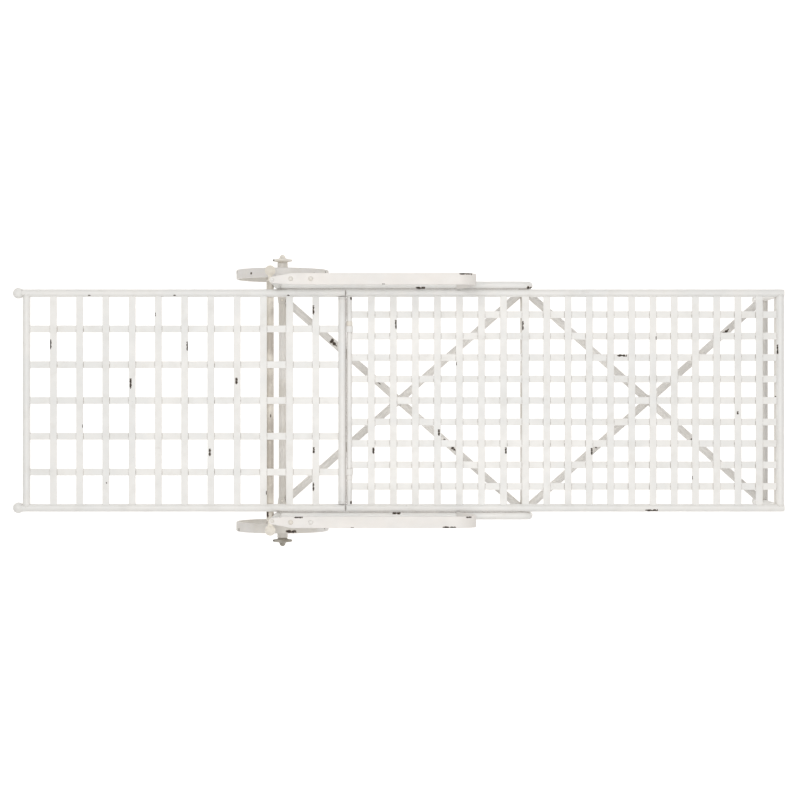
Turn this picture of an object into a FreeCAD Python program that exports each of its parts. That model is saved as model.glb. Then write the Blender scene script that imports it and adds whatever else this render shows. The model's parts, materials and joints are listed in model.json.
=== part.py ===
import FreeCAD, Part
import math
import os

# Wheeled lattice chaise longue of welded steel tube and flat bar, in millimetres.
# +X runs from the head end to the foot end, +Z is up, the floor is Z = 0 and the
# origin is under the middle of the whole lounger.  Left is +Y.

Vec = FreeCAD.Vector

# Overall sizes
SEAT_LENGTH = 1120.0      # hinge axis to the axis of the front bar
BACK_LENGTH = 839.3       # hinge axis to the axis of the head bar
RAIL_SPACING = 558.0      # axis to axis of the side rails, seat and back
SEAT_HEIGHT = 370.0       # floor to the top of the side rails
ARM_HEIGHT = 205.0        # top of the side rails to the top of the arms
REAR_BAY = 457.8          # hinge axis to the cross slat where the two seat bays meet

# Tube and bar stock
TUBE_D = 20.0
TUBE_WALL = 1.5
HEAD_BAR_D = 20.0
HINGE_BAR_D = 14.0
ARM_POST_D = 16.0
SLAT_WIDTH = 18.0
SLAT_THICK = 3.0
SLAT_EDGE = 0.7           # rounding of the slats' long edges
CAP_THICK = 1.6           # discs welded on open rail ends

# Lattice
SEAT_REAR_CELLS = 8
SEAT_FRONT_CELLS = 12
SEAT_LONG_CELLS = 10
BACK_CROSS_CELLS = 12
BACK_LONG_CELLS = 6
HEAD_CELL = 70.6          # head bar to the first cross slat; the other cells are even

# Hinge between seat and back
SEAT_RAIL_START = 5.0     # how far the seat rails reach past the hinge axis
SLEEVE_D = HINGE_BAR_D + 6.0
SLEEVE_LENGTH = 16.0
SLEEVE_WEB = 9.0          # height of the web that joins a sleeve to the foot bar
COLLAR_D = HINGE_BAR_D + 2.4
COLLAR_LENGTH = 12.0
SWING_GAP = 0.6           # room for the back's tubes to turn past the seat's
NOSE_GAP = 0.5            # round noses of the seat rails to the ends of the back rails
SLEEVE_SPACE = 0.8        # between a sleeve and the slat or collar beside it

# Ball finials
FINIAL_D = 28.5
RAIL_OVERRUN = 11.0       # back rails past the axis of the head bar
KNOB_D = 28.0
KNOB_NECK_D = 10.0
KNOB_OFFSET = 27.0        # end of the rest bar's tube to the middle of its ball
SPIGOT_LENGTH = 12.0

# Legs and low frame
MID_LEG_X = 467.8         # hinge axis to the middle legs
LEG_BEND = 20.0           # bend radius of the side tube into its leg, on the tube's axis
APRON_DROP = 34.0         # front bar down to the second bar under it
FOOT_D = 26.0
FOOT_HEIGHT = 16.0
FOOT_SOLE_D = 19.0

# Rear posts, arms and rest bar
POST_SETBACK = 187.2      # hinge axis to the rear posts
POST_Y = TUBE_D + 2.0     # rail axis to the rear post's axis
POST_RISE = 4.0           # lower post's top above the side rails' top
POST_CAP_RISE = 6.0
ARM_WIDTH = 29.0
ARM_CLEARANCE = 0.5       # raised back's rail to the inner edge of the arm
ARM_THICK = 5.0
ARM_EDGE = 1.2
ARM_FRONT = 323.4         # hinge axis to the foremost point of the arm
ARM_BEND = 45.0           # radius of the arm's front shoulder
ARM_FOOT_SETBACK = 41.0   # the arm's foot, behind its foremost point
ARM_TAPER = 47.0          # length of the narrowing behind the full width
ARM_TIP_R = ARM_POST_D / 2
RIVET_X = (-141.2, -91.2)  # the arm's two rivets, from the hinge axis
RIVET_HEAD_D = 12.0
RIVET_SHANK_D = 6.0
RIVET_HEAD_RISE = 4.5
PEG_HEAD_D = 9.0
GUSSET_WIDTH = 20.0
GUSSET_THICK = 4.0
GUSSET_BEND = 24.0
GUSSET_DROP = 60.0
REST_BAR_D = 19.0
REST_BAR_REACH = POST_Y + 11.0  # rail axis to the end of the rest bar's tube
CRADLE_THICK = 6.0
CRADLE_DEPTH = 20.0       # rest bar's axis down to the cradle's underside

# Axle and wheels
WHEEL_D = 250.0
WHEEL_WIDTH = 25.6
WHEEL_RIM = 6.0
WHEEL_INSET = 26.6        # rear post's axis to the inner face of the rim
SPOKES = 8
SPOKE_D = 9.0
AXLE_D = 12.0
AXLE_TUBE_D = 21.0
BOSS_D = 27.0
BOSS_HALF = TUBE_D / 2 + 1.0
WASHER_D = 2 * AXLE_D
WASHER_THICK = 2.0
HUB_D = 28.0
HUB_BELLY_D = 46.0
HUB_NOSE = 19.0           # hub barrel past the outer face of the rim
NUT_BRIM_D = 53.0
NUT_LENGTH = 23.0
AXLE_COLLAR_D = AXLE_TUBE_D + 6.0
AXLE_COLLAR_LENGTH = 10.0
AXLE_COLLAR_CONE = 16.0
SCREW_D = 6.0

# Clearances
WELD_GAP = 0.2            # shaped end of a welded piece to the tube it meets
REST_GAP = 0.3            # faces of different moving bodies that only rest together
RUN_GAP = 0.08            # radial clearance of a turning fit
PLUG_GAP = 0.3            # radial clearance of a spigot, rivet or screw in its hole
SIDE_GAP = 0.6            # seat rail to the side tube beside it
WHEEL_SIDE_GAP = 0.5      # end play each side of a hub

# Worked-out places
RAIL_Y = RAIL_SPACING / 2
RAIL_Z = SEAT_HEIGHT - TUBE_D / 2
LOW_FRAME_Z = WHEEL_D / 2
FOOT_BAR_OFFSET = COLLAR_D / 2 + SWING_GAP + TUBE_D / 2
BACK_RAIL_START = math.hypot(SEAT_RAIL_START, TUBE_D / 2) + SWING_GAP
REST_BAR_SETBACK = POST_SETBACK + TUBE_D / 2 + SWING_GAP + REST_BAR_D / 2
FINIAL_OFFSET = math.sqrt((FINIAL_D / 2) ** 2 - (TUBE_D / 2) ** 2)
HEAD_REACH = RAIL_OVERRUN + FINIAL_OFFSET + FINIAL_D / 2
FOOT_REACH = max(TUBE_D, FOOT_D) / 2
HINGE_X = (BACK_LENGTH + HEAD_REACH - SEAT_LENGTH - FOOT_REACH) / 2
HEAD_X = HINGE_X - BACK_LENGTH
FRONT_X = HINGE_X + SEAT_LENGTH
FOOT_BAR_X = HINGE_X - FOOT_BAR_OFFSET
LEG_X = HINGE_X + MID_LEG_X
POST_X = HINGE_X - POST_SETBACK
SIDE_Y = RAIL_Y + TUBE_D + SIDE_GAP
POST_LINE_Y = RAIL_Y + POST_Y
ARM_LINE_Y = RAIL_Y + TUBE_D / 2 + ARM_CLEARANCE + ARM_WIDTH / 2
ARM_TOP = SEAT_HEIGHT + ARM_HEIGHT
ARM_UNDER = ARM_TOP - ARM_THICK
ARM_FOOT_Z = RAIL_Z + 0.3 * TUBE_D
POST_TOP = SEAT_HEIGHT + POST_RISE
AXLE_Z = WHEEL_D / 2
REST_BAR_X = HINGE_X - REST_BAR_SETBACK
REST_BAR_Z = RAIL_Z - TUBE_D / 2 - REST_GAP - REST_BAR_D / 2
REST_BAR_END = RAIL_Y + REST_BAR_REACH
RIM_INNER_Y = POST_LINE_Y + WHEEL_INSET
RIM_OUTER_Y = RIM_INNER_Y + WHEEL_WIDTH
BOSS_INNER_Y = POST_LINE_Y - BOSS_HALF
BOSS_OUTER_Y = POST_LINE_Y + BOSS_HALF
HUB_INNER_Y = BOSS_OUTER_Y + WASHER_THICK + 2 * WHEEL_SIDE_GAP
HUB_OUTER_Y = RIM_OUTER_Y + HUB_NOSE
NUT_Y = HUB_OUTER_Y + WHEEL_SIDE_GAP
AXLE_HALF = NUT_Y + NUT_LENGTH / 2
LONG_PITCH = RAIL_SPACING / SEAT_LONG_CELLS
SLEEVE_Y = 3 * LONG_PITCH + SLAT_WIDTH / 2 + SLEEVE_SPACE
COLLAR_Y = SLEEVE_Y + SLEEVE_LENGTH + SLEEVE_SPACE

X_AXIS = Vec(1, 0, 0)
Y_AXIS = Vec(0, 1, 0)
Z_AXIS = Vec(0, 0, 1)
ORIGIN = Vec(0, 0, 0)


def rod(start, end, diameter):
    """Solid round bar between two points."""
    return Part.makeCylinder(diameter / 2, start.distanceToPoint(end), start, end - start)


def tube(start, end, diameter, wall=TUBE_WALL):
    """Round tube, open at both ends."""
    reach = (end - start).normalize()
    bore = rod(start - reach, end + reach, diameter - 2 * wall)
    return rod(start, end, diameter).cut(bore)


def along_y(x, z, low, high, diameter):
    """Solid round bar across the lounger."""
    return rod(Vec(x, low, z), Vec(x, high, z), diameter)


def saddle(shape, *runs):
    """Shape the ends of a piece to the tubes it is welded to; each run is start, end, diameter."""
    for start, end, diameter in runs:
        shape = shape.cut(rod(start, end, diameter + 2 * WELD_GAP))
    return largest(shape)


def largest(shape):
    """The one solid that matters after a saddle cut."""
    return max(shape.Solids, key=lambda solid: solid.Volume)


def mirrored(shape):
    """The same piece on the other side of the lounger."""
    return shape.mirror(ORIGIN, Y_AXIS)


def turned(steps, place, side=0):
    """Lathe a profile of (radius, height) points; a pair of points is an arc through the first.

    side 0 leaves the turning axis along +Z, +1 lays it along +Y and -1 along -Y.
    """
    edges = []
    here = Vec(steps[0][0], 0, steps[0][1])
    first = here
    for step in steps[1:]:
        if isinstance(step[0], tuple):
            middle, last = (Vec(radius, 0, height) for radius, height in step)
            edges.append(arc(here, middle, last))
        else:
            last = Vec(step[0], 0, step[1])
            edges.append(line(here, last))
        here = last
    edges.append(line(here, first))
    shape = Part.Face(Part.Wire(edges)).revolve(ORIGIN, Z_AXIS, 360)
    shape.rotate(ORIGIN, X_AXIS, -90 * side)
    shape.translate(place)
    return shape


def line(start, end):
    """Straight edge."""
    return Part.LineSegment(start, end).toShape()


def arc(start, middle, end):
    """Circular edge through three points."""
    return Part.Arc(start, middle, end).toShape()


def crown_arc(radius, height, rise):
    """The last step of a turned profile: a spherical crown from (radius, height) up to the axis."""
    ball = (radius ** 2 + rise ** 2) / (2 * rise)
    half_angle = math.asin(min(1.0, radius / ball)) / 2
    middle = ball * math.sin(half_angle), height + rise - ball + ball * math.cos(half_angle)
    return middle, (0, height + rise)


def save(node, *solids):
    """Write one named sub-part."""
    shape = solids[0] if len(solids) == 1 else Part.makeCompound(list(solids))
    shape.exportStep(os.path.join("parts", node + ".step"))


def save_pair(name, left):
    """Write a left piece and its mirror image as two sub-parts."""
    save(name + "_left", left)
    save(name + "_right", mirrored(left))


# The axes of the tubes that other pieces are shaped to

def rail_run(side):
    """Axis of a side rail through the whole length, with its diameter."""
    y = side * RAIL_Y
    return Vec(HEAD_X - TUBE_D, y, RAIL_Z), Vec(FRONT_X + TUBE_D, y, RAIL_Z), TUBE_D


def cross_run(x, z, diameter, half=RAIL_Y):
    """Axis of a cross bar from side to side, with its diameter."""
    return Vec(x, -half, z), Vec(x, half, z), diameter


def leg_run(x, y, top=RAIL_Z):
    """Axis of an upright, with its diameter."""
    return Vec(x, y, 0), Vec(x, y, top), TUBE_D


HINGE_RUN = cross_run(HINGE_X, RAIL_Z, HINGE_BAR_D)
FRONT_RUN = cross_run(FRONT_X, RAIL_Z, TUBE_D)
FOOT_BAR_RUN = cross_run(FOOT_BAR_X, RAIL_Z, TUBE_D)
HEAD_RUN = cross_run(HEAD_X, RAIL_Z, HEAD_BAR_D)
MID_RUN = cross_run(LEG_X, LOW_FRAME_Z, TUBE_D, SIDE_Y)
FRONT_LOW_RUN = cross_run(FRONT_X, LOW_FRAME_Z, TUBE_D)
AXLE_RUN = cross_run(POST_X, AXLE_Z, AXLE_COLLAR_D, POST_LINE_Y)


def cross_tube(run, *stops):
    """A cross tube whose ends are shaped to the tubes named in stops."""
    return saddle(tube(*run), *stops)


def slat(x_low, x_high, y_low, y_high, z_low):
    """Flat bar with softened long edges."""
    bar = Part.makeBox(x_high - x_low, y_high - y_low, SLAT_THICK, Vec(x_low, y_low, z_low))
    run = X_AXIS if x_high - x_low > y_high - y_low else Y_AXIS
    edges = [e for e in bar.Edges if e.tangentAt(e.FirstParameter).cross(run).Length < 0.01]
    return bar.makeFillet(SLAT_EDGE, edges)


def cross_slats(places):
    """Slats from rail to rail, lying on the long slats."""
    slats = []
    for x in places:
        bar = slat(x - SLAT_WIDTH / 2, x + SLAT_WIDTH / 2, -RAIL_Y, RAIL_Y, RAIL_Z + SLAT_THICK)
        slats.append(saddle(bar, rail_run(1), rail_run(-1)))
    return slats


def long_slats(cells, rear_run, front_run):
    """Slats from the rear bar to the front bar of a panel, evenly spaced across it."""
    slats = []
    for number in range(1, cells):
        y = -RAIL_Y + number * RAIL_SPACING / cells
        bar = slat(rear_run[0].x, front_run[0].x, y - SLAT_WIDTH / 2, y + SLAT_WIDTH / 2, RAIL_Z)
        slats.append(saddle(bar, rear_run, front_run))
    return slats


def rail(x_low, x_high):
    """Left side rail of a panel, without its end discs."""
    return tube(Vec(x_low, RAIL_Y, RAIL_Z), Vec(x_high, RAIL_Y, RAIL_Z), TUBE_D)


def rail_caps(*places):
    """Discs that close rail ends, on both sides; each starts at an X place."""
    caps = []
    for x in places:
        disc = Part.makeCylinder(TUBE_D / 2, CAP_THICK, Vec(x, RAIL_Y, RAIL_Z), X_AXIS)
        caps += [disc, mirrored(disc)]
    return caps


def rail_noses():
    """Plugs in the seat rails' hinge ends, rounded about the hinge axis so that the back can turn."""
    radius = BACK_RAIL_START - NOSE_GAP
    length = radius - SEAT_RAIL_START + CAP_THICK
    disc = Part.makeCylinder(TUBE_D / 2, length, Vec(HINGE_X - radius, RAIL_Y, RAIL_Z), X_AXIS)
    nose = disc.common(along_y(HINGE_X, RAIL_Z, RAIL_Y - TUBE_D, RAIL_Y + TUBE_D, 2 * radius))
    return [nose, mirrored(nose)]


def seat_panel():
    """Seat frame and lattice."""
    start = HINGE_X - SEAT_RAIL_START
    end = FRONT_X + TUBE_D / 2
    save_pair("seat_rail", rail(start + CAP_THICK, end - CAP_THICK))
    save("seat_rail_caps", *rail_noses(), *rail_caps(end - CAP_THICK))
    front_legs = leg_run(FRONT_X, RAIL_Y), leg_run(FRONT_X, -RAIL_Y)
    save("seat_front_bar", cross_tube(FRONT_RUN, rail_run(1), rail_run(-1), *front_legs))
    save("hinge_bar", saddle(rod(*HINGE_RUN), rail_run(1), rail_run(-1)))
    rear_pitch = REAR_BAY / SEAT_REAR_CELLS
    front_pitch = (SEAT_LENGTH - REAR_BAY) / SEAT_FRONT_CELLS
    places = [HINGE_X + number * rear_pitch for number in range(1, SEAT_REAR_CELLS + 1)]
    places += [HINGE_X + REAR_BAY + number * front_pitch for number in range(1, SEAT_FRONT_CELLS)]
    save("seat_cross_slats", *cross_slats(places))
    save("seat_long_slats", *long_slats(SEAT_LONG_CELLS, HINGE_RUN, FRONT_RUN))
    ring = along_y(HINGE_X, RAIL_Z, COLLAR_Y, COLLAR_Y + COLLAR_LENGTH, COLLAR_D)
    bore = rod(HINGE_RUN[0], HINGE_RUN[1], HINGE_BAR_D + 2 * RUN_GAP)
    collar = ring.cut(bore)
    save("hinge_collars", collar, mirrored(collar))


def back_panel():
    """Back frame, lattice, finials and the sleeves it turns on."""
    start = HEAD_X - RAIL_OVERRUN
    end = HINGE_X - BACK_RAIL_START
    save_pair("back_rail", rail(start, end - CAP_THICK))
    save("back_rail_caps", *rail_caps(end - CAP_THICK))
    save("back_head_bar", cross_tube(HEAD_RUN, rail_run(1), rail_run(-1)))
    square_end = RAIL_Y - TUBE_D / 2 - WELD_GAP
    save("back_foot_bar", tube(*cross_run(FOOT_BAR_X, RAIL_Z, TUBE_D, square_end)))
    first = HEAD_X + HEAD_CELL
    pitch = (FOOT_BAR_X - first) / (BACK_CROSS_CELLS - 1)
    save("back_cross_slats", *cross_slats([first + n * pitch for n in range(BACK_CROSS_CELLS - 1)]))
    save("back_long_slats", *long_slats(BACK_LONG_CELLS, HEAD_RUN, FOOT_BAR_RUN))
    spigot = TUBE_D / 2 - TUBE_WALL - PLUG_GAP
    profile = [
        (0, -SPIGOT_LENGTH),
        (spigot, -SPIGOT_LENGTH),
        (spigot, 0),
        (TUBE_D / 2, 0),
        ((FINIAL_D / 2, FINIAL_OFFSET), (0, FINIAL_OFFSET + FINIAL_D / 2)),
    ]
    finial = turned(profile, ORIGIN)
    finial.rotate(ORIGIN, Y_AXIS, -90)
    finial.translate(Vec(start, RAIL_Y, RAIL_Z))
    save("back_finials", finial, mirrored(finial))
    barrel = along_y(HINGE_X, RAIL_Z, SLEEVE_Y, SLEEVE_Y + SLEEVE_LENGTH, SLEEVE_D)
    web_base = Vec(FOOT_BAR_X, SLEEVE_Y, RAIL_Z - SLEEVE_WEB / 2)
    web = Part.makeBox(FOOT_BAR_OFFSET, SLEEVE_LENGTH, SLEEVE_WEB, web_base)
    bore = rod(HINGE_RUN[0], HINGE_RUN[1], HINGE_BAR_D + 2 * RUN_GAP)
    sleeve = saddle(barrel.fuse(web).cut(bore), FOOT_BAR_RUN)
    save("hinge_sleeves", sleeve, mirrored(sleeve))


def side_tube():
    """Left side tube, bent down at its front end into the middle leg."""
    cut_in = LEG_BEND * (1 - math.sqrt(0.5))
    start = Vec(POST_X, SIDE_Y, RAIL_Z)
    bend_start = Vec(LEG_X - LEG_BEND, SIDE_Y, RAIL_Z)
    bend_middle = Vec(LEG_X - cut_in, SIDE_Y, RAIL_Z - cut_in)
    bend_end = Vec(LEG_X, SIDE_Y, RAIL_Z - LEG_BEND)
    end = Vec(LEG_X, SIDE_Y, FOOT_HEIGHT)
    path = Part.Wire([line(start, bend_start), arc(bend_start, bend_middle, bend_end), line(bend_end, end)])
    outside = Part.Wire(Part.makeCircle(TUBE_D / 2, start, X_AXIS))
    inside = Part.Wire(Part.makeCircle(TUBE_D / 2 - TUBE_WALL, start, X_AXIS))
    shape = path.makePipeShell([outside], True, False).cut(path.makePipeShell([inside], True, False))
    return saddle(shape, leg_run(POST_X, POST_LINE_Y, POST_TOP))


def foot(x, y):
    """Turned foot with a spigot up into its leg."""
    sole = FOOT_SOLE_D / 2
    belly = FOOT_D / 2
    spigot = TUBE_D / 2 - TUBE_WALL - PLUG_GAP
    profile = [
        (0, 0),
        (sole, 0),
        ((belly, FOOT_HEIGHT * 0.55), (TUBE_D / 2, FOOT_HEIGHT)),
        (spigot, FOOT_HEIGHT),
        (spigot, FOOT_HEIGHT + SPIGOT_LENGTH),
        (0, FOOT_HEIGHT + SPIGOT_LENGTH),
    ]
    return turned(profile, Vec(x, y, 0))


def legs_and_stretchers():
    """Legs, feet, low stretchers and the bar under the front bar."""
    leg = tube(Vec(FRONT_X, RAIL_Y, FOOT_HEIGHT), Vec(FRONT_X, RAIL_Y, RAIL_Z), TUBE_D)
    save_pair("front_leg", saddle(leg, rail_run(1)))
    save_pair("side_tube", side_tube())
    save("front_feet", foot(FRONT_X, RAIL_Y), foot(FRONT_X, -RAIL_Y))
    save("mid_feet", foot(LEG_X, SIDE_Y), foot(LEG_X, -SIDE_Y))
    front_legs = leg_run(FRONT_X, RAIL_Y), leg_run(FRONT_X, -RAIL_Y)
    mid_legs = leg_run(LEG_X, SIDE_Y), leg_run(LEG_X, -SIDE_Y)
    apron_run = cross_run(FRONT_X, RAIL_Z - APRON_DROP, TUBE_D)
    save("front_apron_bar", cross_tube(apron_run, *front_legs))
    save("front_stretcher", cross_tube(FRONT_LOW_RUN, *front_legs))
    save("mid_stretcher", cross_tube(MID_RUN, *mid_legs))


def brace_cross(name, rear_x, rear_y, front_x, front_y, stops):
    """Two diagonals: one whole tube and one in two halves welded to it."""
    def corner(x, y):
        return Vec(x, y, LOW_FRAME_Z)

    share = rear_y / (rear_y + front_y)
    middle = corner(rear_x + share * (front_x - rear_x), 0)
    whole_run = corner(rear_x, -rear_y), corner(front_x, front_y), TUBE_D
    save(name + "_long", saddle(tube(*whole_run), *stops))
    rear_half = saddle(tube(corner(rear_x, rear_y), middle, TUBE_D), whole_run, *stops)
    front_half = saddle(tube(middle, corner(front_x, -front_y), TUBE_D), whole_run, *stops)
    save(name + "_halves", rear_half, front_half)


def braces():
    """Diagonals of the low frame."""
    mid_legs = [leg_run(LEG_X, SIDE_Y), leg_run(LEG_X, -SIDE_Y)]
    front_legs = [leg_run(FRONT_X, RAIL_Y), leg_run(FRONT_X, -RAIL_Y)]
    rear_stops = [AXLE_RUN, MID_RUN] + mid_legs
    front_stops = [MID_RUN, FRONT_LOW_RUN] + mid_legs + front_legs
    brace_cross("rear_brace", POST_X, RAIL_Y, LEG_X, SIDE_Y, rear_stops)
    brace_cross("front_brace", LEG_X, SIDE_Y, FRONT_X, RAIL_Y, front_stops)


def rear_posts():
    """Lower posts with their axle bosses, turned caps and the thinner posts up to the arms."""
    bore = along_y(POST_X, AXLE_Z, BOSS_INNER_Y - 1, BOSS_OUTER_Y + 1, AXLE_D + 2 * PLUG_GAP)
    boss = along_y(POST_X, AXLE_Z, BOSS_INNER_Y, BOSS_OUTER_Y, BOSS_D)
    stem = tube(Vec(POST_X, POST_LINE_Y, AXLE_Z), Vec(POST_X, POST_LINE_Y, POST_TOP), TUBE_D)
    post = largest(stem.cut(boss)).fuse(boss).removeSplitter().cut(bore)
    save_pair("rear_post", largest(post))
    spigot = TUBE_D / 2 - TUBE_WALL - PLUG_GAP
    shoulder = POST_CAP_RISE * 0.75
    profile = [
        (0, -SPIGOT_LENGTH),
        (spigot, -SPIGOT_LENGTH),
        (spigot, 0),
        (TUBE_D / 2, 0),
        ((TUBE_D / 2 - 0.6, shoulder), (ARM_POST_D / 2, POST_CAP_RISE)),
        (0, POST_CAP_RISE),
    ]
    cap = turned(profile, Vec(POST_X, POST_LINE_Y, POST_TOP))
    save("post_caps", cap, mirrored(cap))
    foot_point = Vec(POST_X, POST_LINE_Y, POST_TOP + POST_CAP_RISE)
    upright = rod(foot_point, Vec(POST_X, POST_LINE_Y, ARM_UNDER), ARM_POST_D)
    save_pair("arm_post", upright.cut(peg_shank(PLUG_GAP)))


def peg_shank(grow=0):
    """Shank of the screw that holds the arm's tip to its post."""
    radius = RIVET_SHANK_D / 2 + grow
    depth = ARM_THICK + 2 * SPIGOT_LENGTH
    return Part.makeCylinder(radius, depth, Vec(POST_X, POST_LINE_Y, ARM_TOP - depth), Z_AXIS)


def dome(x, y, diameter, rise):
    """Domed head standing on the arm's top face."""
    return turned([(0, 0), (diameter / 2, 0), crown_arc(diameter / 2, 0, rise)], Vec(x, y, ARM_TOP))


def arm_profile_face():
    """Side view of the arm's band: level, round the front shoulder, and back down to its foot."""
    front = HINGE_X + ARM_FRONT
    shoulder_z = ARM_TOP - ARM_BEND
    drop = shoulder_z - ARM_FOOT_Z
    bow = (ARM_FOOT_SETBACK ** 2 + drop ** 2) / (2 * ARM_FOOT_SETBACK)
    sweep = math.asin(drop / bow)

    def shoulder(radius, angle):
        return Vec(front - ARM_BEND + radius * math.sin(angle), 0, shoulder_z + radius * math.cos(angle))

    def bowed(radius, angle):
        return Vec(front - bow + radius * math.cos(angle), 0, shoulder_z - radius * math.sin(angle))

    rear = POST_X - 2 * ARM_TIP_R
    thin_bend = ARM_BEND - ARM_THICK
    thin_bow = bow - ARM_THICK
    quarter = math.pi / 2
    edges = [
        line(Vec(rear, 0, ARM_TOP), shoulder(ARM_BEND, 0)),
        arc(shoulder(ARM_BEND, 0), shoulder(ARM_BEND, quarter / 2), shoulder(ARM_BEND, quarter)),
        arc(bowed(bow, 0), bowed(bow, sweep / 2), bowed(bow, sweep)),
        line(bowed(bow, sweep), bowed(thin_bow, sweep)),
        arc(bowed(thin_bow, sweep), bowed(thin_bow, sweep / 2), bowed(thin_bow, 0)),
        arc(shoulder(thin_bend, quarter), shoulder(thin_bend, quarter / 2), shoulder(thin_bend, 0)),
        line(shoulder(thin_bend, 0), Vec(rear, 0, ARM_UNDER)),
        line(Vec(rear, 0, ARM_UNDER), Vec(rear, 0, ARM_TOP)),
    ]
    return Part.Face(Part.Wire(edges))


def arm_plan():
    """Top view of the arm as a tall prism: round tip at the post, widening to the full band."""
    low = ARM_LINE_Y - ARM_WIDTH / 2
    high = ARM_LINE_Y + ARM_WIDTH / 2
    wide = POST_X + ARM_TAPER
    front = HINGE_X + ARM_FRONT + ARM_THICK
    inner_tip = Vec(POST_X, POST_LINE_Y - ARM_TIP_R, 0)
    outer_tip = Vec(POST_X, POST_LINE_Y + ARM_TIP_R, 0)
    outer_side = [outer_tip, Vec(wide, high, 0), Vec(front, high, 0)]
    inner_side = [Vec(front, low, 0), Vec(wide, low, 0), inner_tip]
    corners = outer_side + inner_side
    edges = [line(a, b) for a, b in zip(corners, corners[1:])]
    edges.append(arc(inner_tip, Vec(POST_X - ARM_TIP_R, POST_LINE_Y, 0), outer_tip))
    return Part.Face(Part.Wire(edges)).extrude(Vec(0, 0, 2 * ARM_TOP))


def arm_holes(shape):
    """Drill a piece for the rivets and the tip screw."""
    for offset in RIVET_X:
        base = Vec(HINGE_X + offset, ARM_LINE_Y, 0)
        shape = shape.cut(Part.makeCylinder(RIVET_SHANK_D / 2 + PLUG_GAP, 2 * ARM_TOP, base, Z_AXIS))
    return largest(shape.cut(peg_shank(PLUG_GAP)))


def gusset():
    """Bent strap under the left arm, riveted to it and welded to its post."""
    near = POST_X + ARM_POST_D / 2
    far = HINGE_X + RIVET_X[1] + RIVET_HEAD_D
    centre_x = near + GUSSET_BEND
    centre_z = ARM_UNDER - GUSSET_BEND
    low_end = ARM_UNDER - GUSSET_DROP

    def bend(radius, degrees):
        angle = math.radians(degrees)
        return Vec(centre_x - radius * math.cos(angle), 0, centre_z + radius * math.sin(angle))

    outer = GUSSET_BEND
    inner = GUSSET_BEND - GUSSET_THICK
    edges = [
        line(Vec(far, 0, ARM_UNDER), bend(outer, 90)),
        arc(bend(outer, 90), bend(outer, 45), bend(outer, 0)),
        line(bend(outer, 0), Vec(near, 0, low_end)),
        line(Vec(near, 0, low_end), Vec(near + GUSSET_THICK, 0, low_end)),
        line(Vec(near + GUSSET_THICK, 0, low_end), bend(inner, 0)),
        arc(bend(inner, 0), bend(inner, 45), bend(inner, 90)),
        line(bend(inner, 90), Vec(far, 0, ARM_UNDER - GUSSET_THICK)),
        line(Vec(far, 0, ARM_UNDER - GUSSET_THICK), Vec(far, 0, ARM_UNDER)),
    ]
    strap = Part.Face(Part.Wire(edges)).extrude(Vec(0, GUSSET_WIDTH, 0))
    strap.translate(Vec(0, ARM_LINE_Y - GUSSET_WIDTH / 2, 0))
    return arm_holes(strap)


def arms():
    """Arm bands, their straps, rivets and tip screws."""
    face = arm_profile_face()
    band = face.extrude(Vec(0, 2 * ARM_LINE_Y, 0)).common(arm_plan())
    band = largest(band)
    band = band.makeFillet(ARM_EDGE, top_edges(band))
    side_run = Vec(POST_X, SIDE_Y, RAIL_Z), Vec(LEG_X, SIDE_Y, RAIL_Z), TUBE_D
    save_pair("arm", arm_holes(saddle(band, side_run)))
    save_pair("arm_gusset", gusset())
    rivets = []
    for offset in RIVET_X:
        x = HINGE_X + offset
        depth = ARM_THICK + GUSSET_THICK
        shank = Part.makeCylinder(RIVET_SHANK_D / 2, depth, Vec(x, ARM_LINE_Y, ARM_TOP - depth), Z_AXIS)
        tail_base = Vec(x, ARM_LINE_Y, ARM_TOP - depth - RIVET_HEAD_RISE / 2)
        tail = Part.makeCylinder(RIVET_HEAD_D / 3, RIVET_HEAD_RISE / 2, tail_base, Z_AXIS)
        rivet = dome(x, ARM_LINE_Y, RIVET_HEAD_D, RIVET_HEAD_RISE).fuse(shank).fuse(tail)
        rivets += [rivet, mirrored(rivet)]
    save("arm_rivets", *rivets)
    peg = dome(POST_X, POST_LINE_Y, PEG_HEAD_D, RIVET_HEAD_RISE).fuse(peg_shank())
    save("arm_tip_screws", peg, mirrored(peg))


def top_edges(band):
    """Straight edges of the arm's top face that run along the lounger."""
    chosen = []
    for edge in band.Edges:
        box = edge.BoundBox
        if box.ZMin > ARM_TOP - 0.01 and box.XLength > ARM_TAPER / 2:
            chosen.append(edge)
    return chosen


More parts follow.
